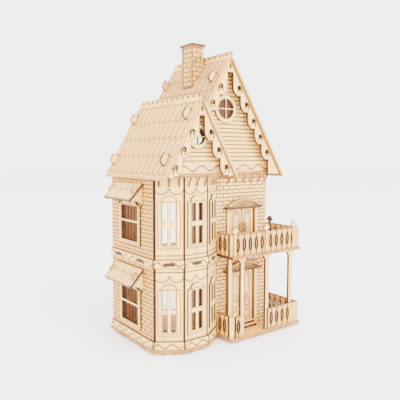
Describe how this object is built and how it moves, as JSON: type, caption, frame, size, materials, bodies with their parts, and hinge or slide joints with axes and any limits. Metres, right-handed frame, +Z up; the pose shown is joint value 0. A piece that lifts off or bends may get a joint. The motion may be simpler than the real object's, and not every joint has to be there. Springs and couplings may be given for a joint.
{
  "type": "wooden dollhouse",
  "caption": "Slot-together plywood dollhouse with an angled bay, a porch and balcony with hinged double doors, steep scrolled gables and an open back.",
  "frame": {"origin": "the middle of the bounding box, on the ground", "axes": "+X towards the porch side, +Y towards the open back, +Z up"},
  "size_m": [0.2328, 0.1386, 0.371],
  "materials": {
    "wall_plywood": "raw birch plywood, laser cut and engraved",
    "roof_plywood": "raw birch plywood with engraved shingles",
    "trim_plywood": "thin raw birch plywood with charred edges"
  },
  "bodies": {
    "house": {"attic_floor": "wall_plywood", "awning_brackets": "trim_plywood", "awning_lower": "trim_plywood", "awning_upper": "trim_plywood", "back_panel_lower": "wall_plywood", "back_panel_upper": "wall_plywood", "balcony_door_arch": "trim_plywood", "balcony_door_frame": "trim_plywood", "balcony_door_ledges": "trim_plywood", "balcony_pilasters": "trim_plywood", "balcony_rail_front": "trim_plywood", "balcony_rail_sides": "trim_plywood", "band_strips": "trim_plywood", "base_plate": "wall_plywood", "bay_panel_left": "wall_plywood", "bay_panel_middle": "wall_plywood", "bay_panel_right": "wall_plywood", "bay_windows_lower": "trim_plywood", "bay_windows_upper": "trim_plywood", "chimney_cap": "trim_plywood", "chimney_stack": "wall_plywood", "corbels": "trim_plywood", "corner_boards": "trim_plywood", "front_door_arch": "trim_plywood", "front_door_frame": "trim_plywood", "front_door_ledges": "trim_plywood", "front_wall_lower": "wall_plywood", "front_wall_upper": "wall_plywood", "left_wall": "wall_plywood", "left_windows": "trim_plywood", "main_bargeboard": "trim_plywood", "main_gable": "wall_plywood", "main_rafter": "wall_plywood", "main_roof_left": "roof_plywood", "main_roof_right": "roof_plywood", "middle_floor": "wall_plywood", "partition_lower": "wall_plywood", "partition_upper": "wall_plywood", "plinth_strips": "trim_plywood", "porch_posts": "trim_plywood", "porch_rail_front": "trim_plywood", "porch_rail_sides": "trim_plywood", "ridge_combs": "trim_plywood", "right_wall_lower": "wall_plywood", "right_wall_upper": "wall_plywood", "right_windows": "trim_plywood", "round_windows": "trim_plywood", "small_bargeboard": "trim_plywood", "small_gable": "wall_plywood", "small_rafter": "wall_plywood", "small_roof_left": "roof_plywood", "small_roof_right": "roof_plywood"},
    "front_leaf_left": {"front_door_left": "trim_plywood", "front_handle_left": "trim_plywood"},
    "front_leaf_right": {"front_door_right": "trim_plywood", "front_handle_right": "trim_plywood"},
    "balcony_leaf_left": {"balcony_door_left": "trim_plywood", "balcony_handle_left": "trim_plywood"},
    "balcony_leaf_right": {"balcony_door_right": "trim_plywood", "balcony_handle_right": "trim_plywood"}
  },
  "joints": [
    {"name": "front_door_left_hinge", "type": "hinge", "parent": "house", "child": "front_leaf_left", "pos_m": [0.019, -0.03675, 0.0465], "axis": [0, 0, -1], "range_deg": [0, 90]},
    {"name": "front_door_right_hinge", "type": "hinge", "parent": "house", "child": "front_leaf_right", "pos_m": [0.0574, -0.03675, 0.0465], "axis": [0, 0, 1], "range_deg": [0, 90]},
    {"name": "balcony_door_left_hinge", "type": "hinge", "parent": "house", "child": "balcony_leaf_left", "pos_m": [0.019, -0.03675, 0.1358], "axis": [0, 0, -1], "range_deg": [0, 90]},
    {"name": "balcony_door_right_hinge", "type": "hinge", "parent": "house", "child": "balcony_leaf_right", "pos_m": [0.0574, -0.03675, 0.1358], "axis": [0, 0, 1], "range_deg": [0, 90]}
  ]
}
